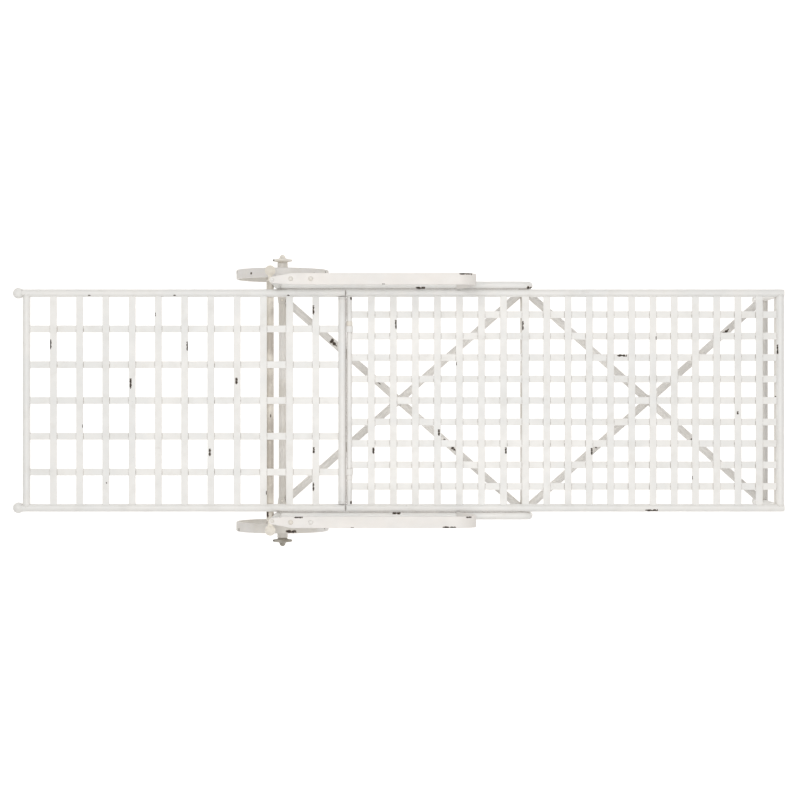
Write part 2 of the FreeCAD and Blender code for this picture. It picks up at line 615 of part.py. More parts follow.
def rest_bar():
    """Bar that the back lies on, with its ball knobs, and the cradles it lies in."""
    half = REST_BAR_END
    ends = Vec(REST_BAR_X, -half, REST_BAR_Z), Vec(REST_BAR_X, half, REST_BAR_Z)
    save("rest_bar_tube", tube(*ends, REST_BAR_D))
    radius = REST_BAR_D / 2
    neck = KNOB_NECK_D / 2
    ball = KNOB_D / 2
    spigot = radius - TUBE_WALL - PLUG_GAP
    meet = math.sqrt(ball ** 2 - (neck + 2) ** 2)
    profile = [
        (0, -SPIGOT_LENGTH),
        (spigot, -SPIGOT_LENGTH),
        (spigot, 0),
        (radius, 0),
        ((radius - 1, 2), (neck + 1, 3.5)),
        ((neck, 7), (neck + 2, KNOB_OFFSET - meet)),
        ((ball, KNOB_OFFSET), (0, KNOB_OFFSET + ball)),
    ]
    knobs = [turned(profile, Vec(REST_BAR_X, side * half, REST_BAR_Z), side) for side in (1, -1)]
    save("rest_bar_knobs", *knobs)
    seat_r = radius + REST_GAP
    rear = REST_BAR_X - radius
    depth = CRADLE_DEPTH - seat_r * math.sqrt(0.5)
    base = Vec(rear, POST_LINE_Y - CRADLE_THICK / 2, REST_BAR_Z - CRADLE_DEPTH)
    plate = Part.makeBox(POST_X - rear, CRADLE_THICK, depth, base)
    boxes = [(edge, edge.BoundBox) for edge in plate.Edges]
    heel = [edge for edge, box in boxes if box.XMax < rear + 0.01 and box.ZMax < base.z + 0.01]
    plate = plate.makeFillet(depth * 0.7, heel)
    plate = plate.cut(along_y(REST_BAR_X, REST_BAR_Z, -half, half, 2 * seat_r))
    save_pair("rest_cradle", saddle(plate, leg_run(POST_X, POST_LINE_Y, POST_TOP)))


def axle():
    """Axle rod, the tube round it, clamp collars, washers and hub nuts."""
    save("axle_rod", along_y(POST_X, AXLE_Z, -AXLE_HALF, AXLE_HALF, AXLE_D))
    half = BOSS_INNER_Y - WELD_GAP
    save("axle_tube", tube(Vec(POST_X, -half, AXLE_Z), Vec(POST_X, half, AXLE_Z), AXLE_TUBE_D))
    bore = AXLE_TUBE_D / 2 + PLUG_GAP
    collar_r = AXLE_COLLAR_D / 2
    profile = [
        (bore, 0),
        (collar_r, 0),
        (collar_r, AXLE_COLLAR_LENGTH),
        (bore + 0.5, AXLE_COLLAR_LENGTH + AXLE_COLLAR_CONE),
        (bore, AXLE_COLLAR_LENGTH + AXLE_COLLAR_CONE),
    ]
    collar = turned(profile, Vec(POST_X, half, AXLE_Z), -1)
    screw_y = half - AXLE_COLLAR_LENGTH - AXLE_COLLAR_CONE / 2
    screw_low = AXLE_Z + AXLE_TUBE_D / 2 + PLUG_GAP
    hole_base = Vec(POST_X, screw_y, screw_low - 1)
    hole = Part.makeCylinder(SCREW_D / 2 + PLUG_GAP, AXLE_COLLAR_D, hole_base, Z_AXIS)
    collar = collar.cut(hole)
    save("axle_collars", collar, mirrored(collar))
    screw_top = AXLE_Z + AXLE_COLLAR_D / 2 + 1.5
    screw = Part.makeCylinder(SCREW_D / 2, screw_top - screw_low, Vec(POST_X, screw_y, screw_low), Z_AXIS)
    save("axle_collar_screws", screw, mirrored(screw))
    low = BOSS_OUTER_Y + WHEEL_SIDE_GAP
    washer = along_y(POST_X, AXLE_Z, low, low + WASHER_THICK, WASHER_D)
    washer = washer.cut(along_y(POST_X, AXLE_Z, low - 1, low + WASHER_THICK + 1, AXLE_D + 2 * PLUG_GAP))
    save("axle_washers", washer, mirrored(washer))
    hub_nuts()


def hub_nuts():
    """Turned nut with a wide brim and a domed crown, at each end of the axle."""
    bore = AXLE_D / 2 + PLUG_GAP
    blind = NUT_LENGTH / 2 + 1
    brim = NUT_BRIM_D / 2
    neck = HUB_D / 2 - 2
    crown = 8.0
    profile = [
        (bore, 0),
        (neck, 0),
        ((neck + 1.5, 2.0), (neck + 4, 3.5)),
        (brim - 3, 4.5),
        ((brim, 7.5), (brim - 3, 10.5)),
        (crown + 5, 12.0),
        ((crown + 1.5, 13.0), (crown, NUT_LENGTH - crown)),
        crown_arc(crown, NUT_LENGTH - crown, crown),
        (0, blind),
        (bore, blind),
    ]
    nut = turned(profile, Vec(POST_X, NUT_Y, AXLE_Z), 1)
    save_pair("hub_nut", nut)


def wheels():
    """Spoked wheels: rim, spokes and hub each side."""
    mid_y = (RIM_INNER_Y + RIM_OUTER_Y) / 2
    outer = WHEEL_D / 2
    inner = outer - WHEEL_RIM
    edge = 2.0
    rim_profile = [
        (inner, 0),
        (outer - edge, 0),
        ((outer - edge * 0.3, edge * 0.3), (outer, edge)),
        (outer, WHEEL_WIDTH - edge),
        ((outer - edge * 0.3, WHEEL_WIDTH - edge * 0.3), (outer - edge, WHEEL_WIDTH)),
        (inner, WHEEL_WIDTH),
    ]
    save_pair("wheel_rim", turned(rim_profile, Vec(POST_X, RIM_INNER_Y, AXLE_Z), 1))
    barrel = HUB_D / 2
    belly = HUB_BELLY_D / 2
    bore = AXLE_D / 2 + RUN_GAP
    length = HUB_OUTER_Y - HUB_INNER_Y
    start = RIM_INNER_Y - HUB_INNER_Y
    stop = start + WHEEL_WIDTH
    hub_profile = [
        (bore, 0),
        (barrel - 1, 0),
        (barrel - 1, start - 6),
        ((barrel + 1, start - 1), (belly, start + 3)),
        (belly, stop - 3),
        ((barrel + 1, stop + 2), (barrel, stop + 8)),
        (barrel, length),
        (bore, length),
    ]
    save_pair("wheel_hub", turned(hub_profile, Vec(POST_X, HUB_INNER_Y, AXLE_Z), 1))
    spokes = []
    for number in range(SPOKES):
        angle = 2 * math.pi * (number + 0.5) / SPOKES
        reach = Vec(math.cos(angle), 0, math.sin(angle))
        centre = Vec(POST_X, mid_y, AXLE_Z)
        spoke = rod(centre + reach * (belly - 2), centre + reach * outer, SPOKE_D)
        ring = along_y(POST_X, AXLE_Z, RIM_INNER_Y - 1, RIM_OUTER_Y + 1, 2 * (inner - WELD_GAP))
        spoke = spoke.common(ring)
        spoke = spoke.cut(along_y(POST_X, AXLE_Z, RIM_INNER_Y, RIM_OUTER_Y, 2 * (belly + WELD_GAP)))
        spokes.append(largest(spoke))
    save("wheel_spokes_left", *spokes)
    save("wheel_spokes_right", *[mirrored(spoke) for spoke in spokes])


os.makedirs("parts", exist_ok=True)
seat_panel()
back_panel()
legs_and_stretchers()
braces()
rear_posts()
arms()
rest_bar()
axle()
wheels()
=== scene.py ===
import json
import math
import random
from typing import NamedTuple

import bmesh
import bpy
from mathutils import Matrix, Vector, noise
from mathutils.bvhtree import BVHTree


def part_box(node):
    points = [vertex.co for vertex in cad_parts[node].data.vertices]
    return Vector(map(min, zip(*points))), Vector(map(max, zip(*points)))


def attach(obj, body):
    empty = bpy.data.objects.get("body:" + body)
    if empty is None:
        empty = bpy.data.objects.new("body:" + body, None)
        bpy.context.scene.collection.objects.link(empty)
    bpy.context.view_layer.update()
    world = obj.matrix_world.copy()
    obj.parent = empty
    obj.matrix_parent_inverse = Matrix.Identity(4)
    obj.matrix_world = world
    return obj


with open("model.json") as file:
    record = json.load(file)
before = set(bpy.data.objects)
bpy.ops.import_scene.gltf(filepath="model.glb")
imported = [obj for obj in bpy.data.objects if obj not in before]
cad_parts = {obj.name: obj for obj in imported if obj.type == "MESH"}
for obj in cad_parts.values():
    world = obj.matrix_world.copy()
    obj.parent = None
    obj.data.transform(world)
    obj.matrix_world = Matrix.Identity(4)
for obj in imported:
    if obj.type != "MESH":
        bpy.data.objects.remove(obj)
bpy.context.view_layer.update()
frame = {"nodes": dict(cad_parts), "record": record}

# Looks of a wheeled lattice chaise longue in distressed white paint: the paints, the welds, dirt, painted
# shade and chips laid on the CAD pieces, and the studio round them.
# Metres, in the CAD frame: +X to the foot end, +Y to the sitter's left, +Z up.

RECORD = frame["record"]
NODES = frame["nodes"]
MM = 0.001

# Colours, linear
WHITE = (0.86, 0.845, 0.815)
WHITE_COOL = (0.82, 0.815, 0.795)
ARM_WHITE = (0.84, 0.80, 0.76)
ARM_WHITE_COOL = (0.80, 0.775, 0.745)
CREAM = (0.80, 0.75, 0.66)
KNOB_CREAM = (0.90, 0.85, 0.76)
# Rest bar's tube: darker, as painted shade of the back lying over it, with dirt
BAR_SHADED_CREAM = (0.70, 0.66, 0.59)
BAR_SHADED_BROWN = (0.42, 0.38, 0.33)
SHADED = (0.66, 0.63, 0.58)
WHEEL_GREY = (0.72, 0.70, 0.68)
# Darker whites for the braces and low bars under the seat: painted shade
LOW_SHADED_WHITE = (0.80, 0.78, 0.75)
LOW_SHADED_GREY = (0.69, 0.67, 0.64)
OLIVE = (0.33, 0.31, 0.26)
# Brown of dirt stains and of the painted shade in corners and in the dark seam paint; also the primer at a
# chip's rim
DIRT_AND_SHADE = (0.30, 0.25, 0.20)
# Darkest brown of the dark paint for the tacks and hinge seam strips, which stands for shade
SEAM_SHADE = (0.20, 0.17, 0.14)
RUST = (0.06, 0.036, 0.024)
STEEL_DARK = (0.016, 0.015, 0.015)
FLOOR = (0.40, 0.40, 0.40)
FLOOR_DULL = tuple(part * 0.99 for part in FLOOR)
WARM = (1.0, 0.985, 0.965)

# Stretch of a noise: the same all ways, or drawn out into streaks along one axis
EVEN = (1, 1, 1)
ALONG_Y = (1, 0.15, 1)
ALONG_X = (0.2, 1, 1)

# Paint: depth of its relief, how rough it is, where it darkens in corners as painted shade and dirt, and
# where it wears off
BRUSH_DEPTH = 0.25 * MM
LUMP_DEPTH = 0.6 * MM
PAINT_THICK = 0.35 * MM
SOFT_RELIEF = 0.35
CRISP_RELIEF = 0.8
PAINT_ROUGH = (0.42, 0.62)
STEEL_ROUGH = 0.78
CREVICE_REACH = 8 * MM
CREVICE_LIGHT = (0.88, 0.35)        # share of open sky where the painted shade and dirt in corners start, and where they are thickest
EDGE_RADIUS = 1.1 * MM
EDGE_COSINES = (0.985, 0.90)        # of true against rounded normal, where wear starts and where it is full
SHADER_SAMPLES = 6

# Steel in a chip
CHIP_DEPTH = 0.2 * MM
CHIP_RELIEF = 0.5
CHIP_ROUGH = (0.55, 0.85)
RIM_START = 0.55                    # share of a chip's radius where its rim of primer begins
RIM_PRIMER = 0.75                   # how much of the primer shows at the very edge

# Weld beads, and dark strips of painted shade in the hinge seam, by radius
BEAD = 1.0 * MM
TACK = 0.75 * MM
TUBE_BEAD = 1.6 * MM
FINIAL_BEAD = 0.9 * MM
SPOKE_BEAD = 1.1 * MM
HINGE_SHADE_STRIP = 0.55 * MM
FOOT_SHADE_STRIP = 0.45 * MM

# Form of a bead: its swelling, the size of its lumps, and the thinnest that its ends get, squared
BEAD_LUMP = 0.35
LUMPS_PER_METRE = 260
END_TAPER = 0.08
BEAD_SIDES = 8
SHADE_STRIP_SIDES = 6
RING_STEPS = 36
SPOKE_STEPS = 20
SLAT_STEPS = 9
TACK_STEPS = 7
FOOT_STEPS = 11

# Places of welds, in radii of the tube that they lie on
CROSS_SLAT_END = 0.78
LONG_SLAT_END = 0.98
SADDLE_END = 0.45
BRACE_END = 1.25
BRACE_CROSSING = 1.35
POST_END = 0.97
FINIAL_RING = 0.99
FOOT_WIDTH = 0.75

# The hinge bar's rings in from its tips, and the tacks: how high over the long slats, how long and how thick
HINGE_INSET = 1.5 * MM
TACK_RISE = 0.2 * MM
TACK_LENGTHS = (0.3, 0.95)
TACK_SIZES = (0.5, 1.2)

# Beads over the side tube at an arm's foot: their lowest point, the part of the arm that gives the foot's
# place along X, how far either side of it they lie, and their rise
ARM_FOOT_RISE = 1.0 * MM
ARM_FOOT_DEPTH = 6 * MM
ARM_FOOT_HALF = 2.8 * MM
ARM_FOOT_HUMP = 3.4 * MM

# Dark strips of painted shade in the hinge seam: their gap to fittings and rails, the shortest that is laid,
# and how far apart their points lie
SHADE_STRIP_GAP = MM
RAIL_GAP = 2 * MM
SHADE_STRIP_SHORTEST = 10 * MM
SHADE_STRIP_STEP = 3 * MM
HINGE_SHADE_STRIP_OUT = 0.1 * MM

# Wheels: the spokes' number, the rim's thickness and the hub's largest radius as the CAD has them, and the
# weld rings' own radius and their distance from rim and hub
SPOKES = 8
RIM_THICK = 6 * MM
BELLY_R = 23 * MM
SPOKE_RING_R = 4.7 * MM
SPOKE_WELD_OUT = 0.6 * MM

# Chips: a flake's thickness and lift, the grid that it is made on, and its ragged outline
FLAKE = 0.2 * MM
CHIP_LIFT = 0.12 * MM
CHIP_RINGS = 4
CHIP_STEPS = 18
RAGGED = 0.55
RAGGED_SCALE = 1.9
DROP_FROM = 60 * MM
DROP_REACH = 120 * MM
WIDEST_FACE = 6 * MM
STEEPEST_FACE = 4 * MM
CHIP_ROW = ((-0.18, 0.62), (0.27, 0.42), (0.52, 0.14))      # place and length in a row, shares of its length
RIM_CHIPS = 9
RIM_CHIP_LENGTHS = (6 * MM, 14 * MM)
RIM_CHIP_WIDTHS = (4 * MM, 7 * MM)
RIM_SCAR_AT = 77                    # degrees round the right rim, from +X towards +Z

# Studio
CAMERA_ABOVE_SEAT = 5.330
CAMERA_X = 2.5 * MM
CAMERA_Y = 1.3 * MM
LENS = 92.25
SENSOR = 36
VIEW_END = 50
FLOOR_HALF = 30
FLOOR_BELOW = 0.5 * MM
FLOOR_ROUGH = 0.9
FLOOR_GLOW = 0.88
SKY = 0.36
BACKDROP = 1.05
LAMP_Z = 6.6
LAMP_WIDTH = 3.4
KEY_POWER = 150
FILL_POWER = 118


# Where things are, from the CAD

def middle(node):
    """Centre of a node's box."""
    low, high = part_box(node)
    return (low + high) / 2


def bars(node, axis, apart):
    """Boxes of a node's separate bars, in order along an axis on which they lie apart."""
    points = sorted((v.co.copy() for v in NODES[node].data.vertices), key=lambda p: p[axis])
    groups = [[points[0]]]
    for point in points[1:]:
        if point[axis] - groups[-1][-1][axis] > apart:
            groups.append([])
        groups[-1].append(point)
    boxes = []
    for group in groups:
        low = Vector([min(p[i] for p in group) for i in range(3)])
        high = Vector([max(p[i] for p in group) for i in range(3)])
        boxes.append((low, high))
    return boxes


SLATS_APART = 25 * MM
FITTINGS_APART = 30 * MM
SEAT_CROSS = bars("seat_cross_slats", 0, SLATS_APART)
BACK_CROSS = bars("back_cross_slats", 0, SLATS_APART)
SEAT_LONG = bars("seat_long_slats", 1, SLATS_APART)
BACK_LONG = bars("back_long_slats", 1, SLATS_APART)
RAIL_R = (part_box("seat_rail_left")[1].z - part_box("seat_rail_left")[0].z) / 2
HINGE_R = (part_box("hinge_bar")[1].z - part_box("hinge_bar")[0].z) / 2
HEAD_R = (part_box("back_head_bar")[1].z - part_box("back_head_bar")[0].z) / 2
RAIL_Y = middle("seat_rail_left").y
RAIL_Z = middle("seat_rail_left").z
SIDE_Y = middle("side_tube_left").y
HINGE_X = middle("hinge_bar").x
FRONT_X = middle("seat_front_bar").x
HEAD_X = middle("back_head_bar").x
FOOT_X = middle("back_foot_bar").x
POST_X = middle("axle_rod").x
LOW_Z = middle("mid_stretcher").z
MID_X = middle("mid_stretcher").x
ARM_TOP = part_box("arm_left")[1].z


# Materials

class Grain(NamedTuple):
    """A noise: its scale per metre, detail, roughness and own shift, and the band of it that fades in."""
    scale: float
    detail: float
    rough: float
    shift: float = 0.0
    low: float = 0.0
    high: float = 1.0


CLOUDS = Grain(scale=7, detail=5, rough=0.6, low=0.38, high=0.62)
MOTTLE = Grain(scale=95, detail=6, rough=0.7, shift=3, low=0.52, high=0.70)
PATCHES = Grain(scale=19, detail=6, rough=0.6, shift=5, low=0.50, high=0.72)
STAINS = Grain(scale=24, detail=8, rough=0.72, shift=7, low=0.62, high=0.76)
# Noise that breaks up the painted shade and dirt in corners
CORNER_SHADE_AND_DIRT = Grain(scale=60, detail=5, rough=0.65, shift=11, low=0.25, high=0.62)
EDGE_WEAR = Grain(scale=120, detail=6, rough=0.7, shift=17, low=0.60, high=0.66)
SPOTS = Grain(scale=140, detail=5, rough=0.62, shift=23, low=0.745, high=0.765)
BARE_STEEL = Grain(scale=220, detail=4, rough=0.6, shift=29)
GLOSS = Grain(scale=38, detail=5, rough=0.6, shift=31, low=0.3, high=0.7)
BRUSH = Grain(scale=210, detail=3, rough=0.5, shift=37)
LUMPS = Grain(scale=46, detail=4, rough=0.55, shift=41)
CHIP_COLOUR = Grain(scale=420, detail=5, rough=0.65, shift=2, low=0.35, high=0.65)
CHIP_GLOSS = CHIP_COLOUR._replace(low=0.3, high=0.7)
FLOOR_CLOUDS = Grain(scale=0.4, detail=2, rough=0.5, low=0.3, high=0.7)


class Nodes:
    """A material's node tree with short calls for the nodes used here."""

    def __init__(self, name):
        self.material = bpy.data.materials.new(name)
        self.material.use_nodes = True
        self.tree = self.material.node_tree
        self.tree.nodes.clear()
        self.out = self.add("ShaderNodeOutputMaterial")
        self.shader = self.add("ShaderNodeBsdfPrincipled")
        self.link(self.shader.outputs["BSDF"], self.out.inputs["Surface"])
        self.place = self.add("ShaderNodeTexCoord").outputs["Object"]

    def add(self, kind, **settings):
        """A new node of a kind, with its settings."""
        node = self.tree.nodes.new(kind)
        for key, value in settings.items():
            setattr(node, key, value)
        return node

    def link(self, source, target):
        """Join an output socket to an input socket."""
        self.tree.links.new(source, target)

    def noise(self, grain, shift=0.0, stretch=EVEN):
        """Grey noise from the object's own coordinates, about 0.5 in the middle."""
        moved = shift + grain.shift
        mapping = self.add("ShaderNodeMapping")
        mapping.inputs["Location"].default_value = (moved, moved * 0.7, -moved)
        mapping.inputs["Scale"].default_value = stretch
        self.link(self.place, mapping.inputs["Vector"])
        node = self.add("ShaderNodeTexNoise")
        node.inputs["Scale"].default_value = grain.scale
        node.inputs["Detail"].default_value = grain.detail
        node.inputs["Roughness"].default_value = grain.rough
        self.link(mapping.outputs["Vector"], node.inputs["Vector"])
        return node.outputs["Fac"]

    def ramp(self, source, low, high, bottom=0.0, top=1.0):
        """Spread low..high of a grey value over bottom..top."""
        node = self.add("ShaderNodeMapRange", interpolation_type="SMOOTHSTEP")
        node.inputs["From Min"].default_value = low
        node.inputs["From Max"].default_value = high
        node.inputs["To Min"].default_value = bottom
        node.inputs["To Max"].default_value = top
        self.link(source, node.inputs["Value"])
        return node.outputs["Result"]

    def layer(self, grain, shift=0.0, bottom=0.0, top=1.0, stretch=EVEN, sooner=0.0):
        """A noise with its band spread over bottom..top; sooner lets the band start that much lower."""
        grey = self.noise(grain, shift, stretch)
        return self.ramp(grey, grain.low - sooner, grain.high, bottom, top)

    def math(self, operation, first, second):
        """One operation on two grey values, each a number or a socket, kept within 0..1."""
        node = self.add("ShaderNodeMath", operation=operation, use_clamp=True)
        for socket, value in zip(node.inputs, (first, second)):
            if isinstance(value, (int, float)):
                socket.default_value = value
            else:
                self.link(value, socket)
        return node.outputs["Value"]

    def mix(self, factor, first, second):
        """Mix two colours, each a triple or a socket, by a grey value."""
        node = self.add("ShaderNodeMix", data_type="RGBA")
        self.link(factor, node.inputs["Factor"])
        for socket, value in ((node.inputs["A"], first), (node.inputs["B"], second)):
            if isinstance(value, tuple):
                socket.default_value = (*value, 1)
            else:
                self.link(value, socket)
        return node.outputs["Result"]

    def bump(self, height, distance, strength, under=None):
        """Relief from a grey value, on top of the relief under it if there is one."""
        node = self.add("ShaderNodeBump")
        node.inputs["Strength"].default_value = strength
        node.inputs["Distance"].default_value = distance
        self.link(height, node.inputs["Height"])
        if under is not None:
            self.link(under, node.inputs["Normal"])
        return node.outputs["Normal"]


def worn_edges(nodes):
    """1 on sharp edges and 0 on flats, from the angle between the true and the rounded normal."""
    bevel = nodes.add("ShaderNodeBevel", samples=SHADER_SAMPLES)
    bevel.inputs["Radius"].default_value = EDGE_RADIUS
    true_normal = nodes.add("ShaderNodeNewGeometry").outputs["Normal"]
    dot = nodes.add("ShaderNodeVectorMath", operation="DOT_PRODUCT")
    nodes.link(bevel.outputs["Normal"], dot.inputs[0])
    nodes.link(true_normal, dot.inputs[1])
    return nodes.ramp(dot.outputs["Value"], *EDGE_COSINES)


def crevice_shade_and_dirt(nodes):
    """1 deep in corners and 0 in the open: the mask for the shade painted, with dirt, into corners and
    between parts.
    """
    shade = nodes.add("ShaderNodeAmbientOcclusion", samples=SHADER_SAMPLES)
    shade.inputs["Distance"].default_value = CREVICE_REACH
    return nodes.ramp(shade.outputs["AO"], *CREVICE_LIGHT)


def painted(name, light, dull, shift, grime_and_shade, chips, wear, streak=EVEN):
    """Brushed oil paint over steel: mottled, stained, darkened in corners with painted shade and dirt,
    chipped here and there.
    """
    # How grimy a paint is sets its mottling, patches and stains, and also how dark the painted shade in its
    # corners gets
    mottled = 0.14 + 0.2 * grime_and_shade
    patched = 0.10 + 0.5 * grime_and_shade
    stained = 0.5 * grime_and_shade
    shade_and_dirt_in_corners = 0.42 + 0.4 * grime_and_shade
    shade_and_dirt_in_clean_corners = 0.45
    on_edges = 0.55 + 0.45 * wear
    edges_sooner = 0.05 * wear
    spots_sooner = 0.03 * chips

    nodes = Nodes(name)
    colour = nodes.mix(nodes.layer(CLOUDS, shift), light, dull)
    colour = nodes.mix(nodes.layer(MOTTLE, shift, top=mottled), colour, CREAM)
    colour = nodes.mix(nodes.layer(PATCHES, shift, top=patched, stretch=streak), colour, SHADED)
    colour = nodes.mix(nodes.layer(STAINS, shift, top=stained, stretch=streak), colour, DIRT_AND_SHADE)
    # Painted shade with dirt: the colour turns brown in corners and between parts, where shade falls, broken
    # up by noise
    dirt = nodes.layer(CORNER_SHADE_AND_DIRT, shift, bottom=shade_and_dirt_in_clean_corners)
    corner = nodes.math("MULTIPLY", crevice_shade_and_dirt(nodes), dirt)
    colour = nodes.mix(nodes.math("MULTIPLY", corner, shade_and_dirt_in_corners), colour, DIRT_AND_SHADE)
    edge = nodes.math("MULTIPLY", worn_edges(nodes), nodes.layer(EDGE_WEAR, shift, sooner=edges_sooner))
    spots = nodes.layer(SPOTS, shift, sooner=spots_sooner)
    gone = nodes.math("MAXIMUM", nodes.math("MULTIPLY", edge, on_edges), spots)
    bare = nodes.mix(nodes.noise(BARE_STEEL, shift), RUST, STEEL_DARK)
    nodes.link(nodes.mix(gone, colour, bare), nodes.shader.inputs["Base Color"])

    gloss = nodes.layer(GLOSS, shift, *PAINT_ROUGH)
    rough = nodes.math("MAXIMUM", gloss, nodes.math("MULTIPLY", gone, STEEL_ROUGH))
    nodes.link(rough, nodes.shader.inputs["Roughness"])

    relief = nodes.bump(nodes.noise(BRUSH, shift), BRUSH_DEPTH, SOFT_RELIEF)
    relief = nodes.bump(nodes.noise(LUMPS, shift), LUMP_DEPTH, SOFT_RELIEF, relief)
    relief = nodes.bump(nodes.math("SUBTRACT", 1.0, gone), PAINT_THICK, CRISP_RELIEF, relief)
    nodes.link(relief, nodes.shader.inputs["Normal"])
    return nodes.material


def bare_metal():
    """Steel showing in a chip: dark brown in the middle, paler primer at the ragged rim."""
    nodes = Nodes("chipped_steel")
    rim = nodes.add("ShaderNodeAttribute", attribute_name="rim").outputs["Fac"]
    colour = nodes.mix(nodes.layer(CHIP_COLOUR), STEEL_DARK, RUST)
    colour = nodes.mix(nodes.ramp(rim, RIM_START, 1.0, 0.0, RIM_PRIMER), colour, DIRT_AND_SHADE)
    nodes.link(colour, nodes.shader.inputs["Base Color"])
    nodes.link(nodes.layer(CHIP_GLOSS, 0.0, *CHIP_ROUGH), nodes.shader.inputs["Roughness"])
    relief = nodes.bump(nodes.noise(CHIP_COLOUR), CHIP_DEPTH, CHIP_RELIEF)
    nodes.link(relief, nodes.shader.inputs["Normal"])
    return nodes.material


def floor_paint():
    """Pale, faintly clouded floor with a glow of its own, so that hardly a shadow shows on it."""
    nodes = Nodes("floor")
    tone = nodes.mix(nodes.layer(FLOOR_CLOUDS), FLOOR, FLOOR_DULL)
    nodes.link(tone, nodes.shader.inputs["Base Color"])
    nodes.shader.inputs["Roughness"].default_value = FLOOR_ROUGH
    nodes.shader.inputs["Emission Color"].default_value = (*WARM, 1)
    nodes.shader.inputs["Emission Strength"].default_value = FLOOR_GLOW
    return nodes.material


def mix_paints():
    """All paints by name; the first six are the record's slots, the others are for single nodes, some darker
    as painted shade, one dirty, and for the dark tacks and seam strips of painted shade.
    """
    settings = {
        "frame_paint": dict(light=WHITE, dull=WHITE_COOL, shift=0, grime_and_shade=0.30, chips=0.10, wear=0.35),
        "back_paint": dict(light=WHITE, dull=WHITE_COOL, shift=5, grime_and_shade=0.32, chips=0.15, wear=0.40),
        "arm_paint": dict(light=ARM_WHITE, dull=ARM_WHITE_COOL, shift=9, grime_and_shade=0.20, chips=0.0, wear=0.5,
                          streak=ALONG_X),
        "rest_bar_paint": dict(light=KNOB_CREAM, dull=CREAM, shift=13, grime_and_shade=0.3, chips=0.2, wear=0.5),
        "wheel_paint": dict(light=WHEEL_GREY, dull=SHADED, shift=17, grime_and_shade=1.0, chips=0.4, wear=0.8,
                            streak=ALONG_X),
        "fittings_paint": dict(light=WHITE, dull=CREAM, shift=21, grime_and_shade=0.6, chips=0.4, wear=0.9),
        # The rest bar's tube, darker all over as painted shade of the back lying over it, with streaks of
        # dirt
        "bar_paint": dict(light=BAR_SHADED_CREAM, dull=BAR_SHADED_BROWN, shift=25, grime_and_shade=0.9, chips=0.3, wear=0.6,
                          streak=ALONG_Y),
        # Darker paints for the braces, the low bars and the front apron under the seat: painted shade, the
        # low bars with streaks of dirt
        "brace_shaded_paint": dict(light=LOW_SHADED_GREY, dull=LOW_SHADED_WHITE, shift=27, grime_and_shade=0.5, chips=0.3, wear=0.5),
        "low_shaded_paint": dict(light=LOW_SHADED_WHITE, dull=SHADED, shift=31, grime_and_shade=0.9, chips=0.3, wear=0.5,
                          streak=ALONG_Y),
        "front_low_shaded_paint": dict(light=LOW_SHADED_GREY, dull=LOW_SHADED_GREY, shift=33, grime_and_shade=0.9, chips=0.3, wear=0.5,
                                streak=ALONG_Y),
        "dirty_paint": dict(light=OLIVE, dull=DIRT_AND_SHADE, shift=35, grime_and_shade=1.0, chips=0.8, wear=0.9),
        # Dark paint for the tacks at slat crossings and the strips in the hinge seam: painted shade
        "seam_shade_paint": dict(light=DIRT_AND_SHADE, dull=SEAM_SHADE, shift=39, grime_and_shade=0.5, chips=0.0, wear=0.2),
    }
    return {name: painted(name, **values) for name, values in settings.items()}


PAINTS = mix_paints()
CHIPPED = bare_metal()
SPECIAL_PAINTS = {
    # The braces and low bars under the seat take the darker paints of painted shade
    "brace_shaded_paint": ("rear_brace_long", "rear_brace_halves", "front_brace_long", "front_brace_halves"),
    "low_shaded_paint": ("mid_stretcher", "axle_tube", "axle_collars"),
    "front_low_shaded_paint": ("front_stretcher", "front_apron_bar"),
    "bar_paint": ("rest_bar_tube",),
    "dirty_paint": ("hub_nut_right",),
}


def node_paint(part):
    """A node's own paint where it has one, otherwise that of its record slot."""
    for name, nodes in SPECIAL_PAINTS.items():
        if part["node"] in nodes:
            return PAINTS[name]
    return PAINTS[part["material_slot"]]


def paint_cad():
    """Give every CAD node its paint."""
    for part in RECORD["subparts"]:
        piece = NODES[part["node"]]
        piece.data.materials.clear()
        piece.data.materials.append(node_paint(part))


# Meshes

def make_piece(name, mesh, body, material):
    """Turn a bmesh into a smooth piece that rides on a body."""
    data = bpy.data.meshes.new(name)
    mesh.to_mesh(data)
    mesh.free()
    data.materials.append(material)
    for face in data.polygons:
        face.use_smooth = True
    piece = bpy.data.objects.new(name, data)
    bpy.context.scene.collection.objects.link(piece)
    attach(piece, body)
    return piece


def bead_ring(mesh, here, along, size, sides):
    """Vertices round a point of a bead, square to its direction."""
    across = along.orthogonal().normalized()
    up = along.cross(across)
    ring = []
    for side in range(sides):
        angle = 2 * math.pi * side / sides
        ring.append(mesh.verts.new(here + (across * math.cos(angle) + up * math.sin(angle)) * size))
    return ring


def grow_bead(mesh, path, radius, closed=False, sides=BEAD_SIDES):
    """Add a lumpy bead along a list of points; an open bead gets thinner towards its ends."""
    count = len(path)
    rings = []
    for number, here in enumerate(path):
        before = path[number - 1] if number or closed else here
        after = path[(number + 1) % count] if number < count - 1 or closed else here
        taper = 1.0
        if not closed:
            taper = math.sqrt(max(END_TAPER, 1 - (2 * number / (count - 1) - 1) ** 4))
        size = radius * taper * (1 + BEAD_LUMP * noise.noise(here * LUMPS_PER_METRE))
        rings.append(bead_ring(mesh, here, (after - before).normalized(), size, sides))
    for number in range(count if closed else count - 1):
        first, second = rings[number], rings[(number + 1) % count]
        turn = 0
        if closed and number == count - 1:
            turn = min(range(sides), key=lambda t: (first[0].co - second[t].co).length)
        for side in range(sides):
            after = (side + 1) % sides
            near, far = second[(side + turn) % sides], second[(after + turn) % sides]
            mesh.faces.new((first[side], first[after], far, near))
    if not closed:
        mesh.faces.new(list(reversed(rings[0])))
        mesh.faces.new(rings[-1])


